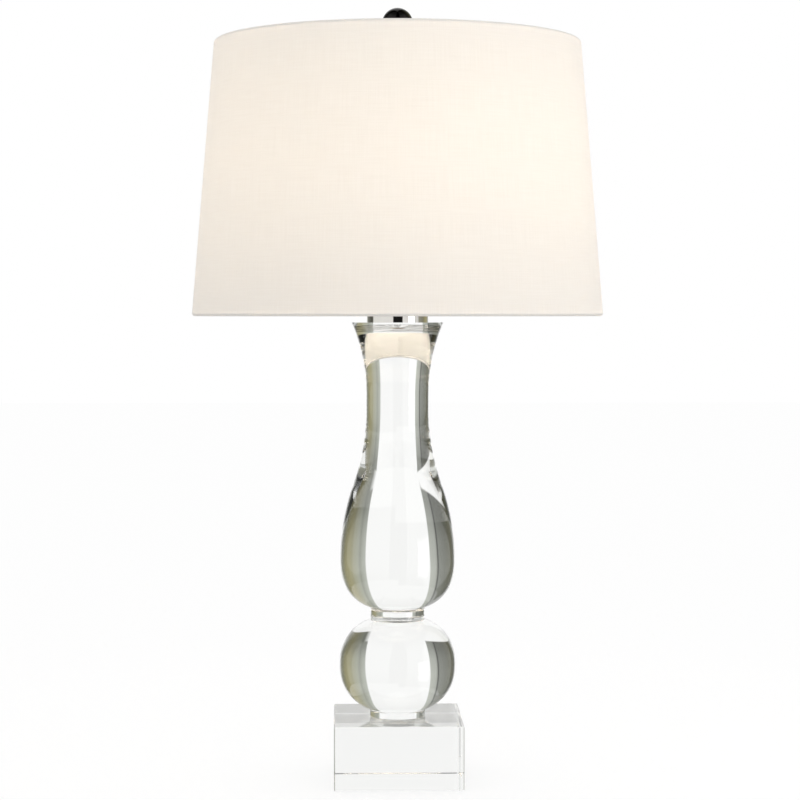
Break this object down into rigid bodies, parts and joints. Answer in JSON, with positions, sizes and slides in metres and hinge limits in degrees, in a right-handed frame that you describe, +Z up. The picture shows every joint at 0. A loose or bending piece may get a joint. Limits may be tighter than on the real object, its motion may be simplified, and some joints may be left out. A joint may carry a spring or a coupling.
{
  "type": "table lamp",
  "caption": "Table lamp with a stacked clear crystal baluster, ball and discs on a square plinth, a tapered white drum shade on a harp, and a ball finial.",
  "frame": {"origin": "centre of the plinth's underside, which stands on the table", "axes": "+Z up the lamp's axis; the plinth's sides are square to X and Y; -Y is the front with the switch knob, +Y the back with the cord outlet"},
  "size_m": [0.4064, 0.4063, 0.7659],
  "materials": {
    "crystal": "clear polished crystal",
    "nickel": "polished nickel plate",
    "black_nickel": "polished black nickel plate",
    "brass": "turned brass",
    "bushing": "moulded, matt",
    "phenolic": "moulded, matt",
    "paper": "pressed board",
    "knob": "moulded, glossy",
    "frosted_glass": "frosted",
    "stem_glass": "clear",
    "insulator_glass": "opaque black glass",
    "aluminium": "thin sheet",
    "steel": "plain wire",
    "white_wire": "white coated wire",
    "linen": "fine white linen weave",
    "styrene": "white translucent sheet"
  },
  "bodies": {
    "lamp": {"plinth": "crystal", "lower_disc": "crystal", "crystal_ball": "crystal", "middle_disc": "crystal", "vase": "crystal", "collar": "nickel", "nipple": "brass", "neck": "nickel", "cord_bushing": "bushing", "saddle": "nickel", "washer": "nickel", "lock_nut": "brass", "harp": "nickel", "harp_stud": "brass", "socket_cap": "nickel", "socket_shell": "nickel", "socket_sleeve": "paper", "socket_interior": "phenolic", "screw_shell": "brass", "centre_contact": "brass", "terminal_screws": "brass"},
    "left_ferrule": {"left_ferrule": "nickel"},
    "right_ferrule": {"right_ferrule": "nickel"},
    "switch": {"switch_shaft": "brass", "turn_knob": "knob"},
    "bulb": {"bulb_glass": "frosted_glass", "bulb_cap": "aluminium", "bulb_insulator": "insulator_glass", "bulb_contact": "aluminium", "bulb_stem": "stem_glass", "bulb_filament": "steel"},
    "shade": {"spider_washer": "white_wire", "shade_spider": "white_wire", "shade_bottom_ring": "white_wire", "shade_liner": "styrene", "shade_fabric": "linen"},
    "finial": {"finial": "black_nickel"}
  },
  "joints": [
    {"name": "left_ferrule_slide", "type": "slide", "parent": "lamp", "child": "left_ferrule", "axis": [0, 0, 1], "range_m": [0, 0.02]},
    {"name": "right_ferrule_slide", "type": "slide", "parent": "lamp", "child": "right_ferrule", "axis": [0, 0, 1], "range_m": [0, 0.02]},
    {"name": "switch_turn", "type": "hinge", "parent": "lamp", "child": "switch", "pos_m": [0, -0.028, 0.5147], "axis": [0, -1, 0], "continuous": true},
    {"name": "bulb_turn", "type": "hinge", "parent": "lamp", "child": "bulb", "pos_m": [0, 0, 0.55], "axis": [0, 0, 1], "continuous": true},
    {"name": "shade_turn", "type": "hinge", "parent": "lamp", "child": "shade", "pos_m": [0, 0, 0.7151], "axis": [0, 0, 1], "continuous": true},
    {"name": "finial_turn", "type": "hinge", "parent": "lamp", "child": "finial", "pos_m": [0, 0, 0.73], "axis": [0, 0, 1], "continuous": true}
  ]
}
